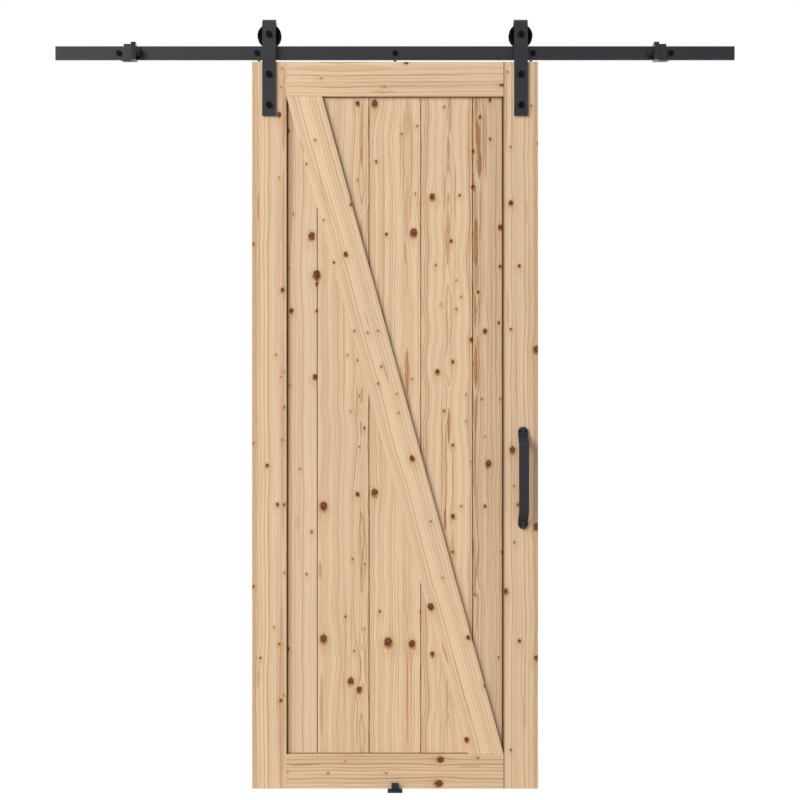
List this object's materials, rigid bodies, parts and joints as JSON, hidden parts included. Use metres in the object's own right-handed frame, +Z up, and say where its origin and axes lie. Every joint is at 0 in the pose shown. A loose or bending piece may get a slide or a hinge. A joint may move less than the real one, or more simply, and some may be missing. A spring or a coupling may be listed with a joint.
{
  "type": "sliding barn door",
  "caption": "Sliding barn door: framed pine leaf with a diagonal brace, hung by black strap hangers and grooved wheels on a flat wall rail, with end stops, pull handle and floor guide.",
  "frame": {"origin": "wall face of the middle spacer, on the rail's centre line", "axes": "+X along the rail to the right seen from the room, +Y into the wall, +Z up"},
  "size_m": [2, 0.136, 2.269],
  "materials": {
    "frame_wood": "unfinished knotty pine, sanded",
    "panel_wood": "unfinished knotty pine boards",
    "brace_wood": "unfinished knotty pine, sanded",
    "black_steel": "matt black powder coat",
    "black_fasteners": "black oxide",
    "wheel": "black coated, tread worn smooth",
    "rubber": "matt black rubber"
  },
  "bodies": {
    "root": {"wall_rail": "black_steel", "spacer_1": "black_steel", "spacer_2": "black_steel", "spacer_3": "black_steel", "spacer_4": "black_steel", "spacer_5": "black_steel", "lag_screw_1": "black_fasteners", "lag_screw_2": "black_fasteners", "lag_screw_3": "black_fasteners", "lag_screw_4": "black_fasteners", "lag_screw_5": "black_fasteners", "left_stop_clamp": "black_steel", "left_stop_plate": "black_steel", "left_stop_bumper": "rubber", "right_stop_clamp": "black_steel", "right_stop_plate": "black_steel", "right_stop_bumper": "rubber", "floor_guide_base": "black_steel", "floor_guide_front_tab": "black_steel", "floor_guide_back_tab": "black_steel"},
    "door": {"left_stile": "frame_wood", "right_stile": "frame_wood", "top_rail": "frame_wood", "bottom_rail": "frame_wood", "panel_board_1": "panel_wood", "panel_board_2": "panel_wood", "panel_board_3": "panel_wood", "panel_board_4": "panel_wood", "panel_board_5": "panel_wood", "diagonal_brace": "brace_wood", "left_strap": "black_steel", "left_axle_bolt": "black_fasteners", "left_axle_nut": "black_fasteners", "left_strap_bolts": "black_fasteners", "left_strap_nuts": "black_fasteners", "right_strap": "black_steel", "right_axle_bolt": "black_fasteners", "right_axle_nut": "black_fasteners", "right_strap_bolts": "black_fasteners", "right_strap_nuts": "black_fasteners", "pull_handle": "black_steel", "handle_screws": "black_fasteners"},
    "left_wheel": {"left_wheel": "wheel"},
    "right_wheel": {"right_wheel": "wheel"}
  },
  "joints": [
    {"name": "door_slide", "type": "slide", "parent": "root", "child": "door", "axis": [1, 0, 0], "range_m": [-0.35, 0.35]},
    {"name": "left_wheel_spin", "type": "hinge", "parent": "door", "child": "left_wheel", "pos_m": [-0.3695, -0.043, 0.05], "axis": [0, 1, 0], "continuous": true},
    {"name": "right_wheel_spin", "type": "hinge", "parent": "door", "child": "right_wheel", "pos_m": [0.3695, -0.043, 0.05], "axis": [0, 1, 0], "continuous": true}
  ],
  "couplings": [
    {"joint": "left_wheel_spin", "follows": "door_slide", "rad_per_m": 33.333},
    {"joint": "right_wheel_spin", "follows": "door_slide", "rad_per_m": 33.333}
  ]
}
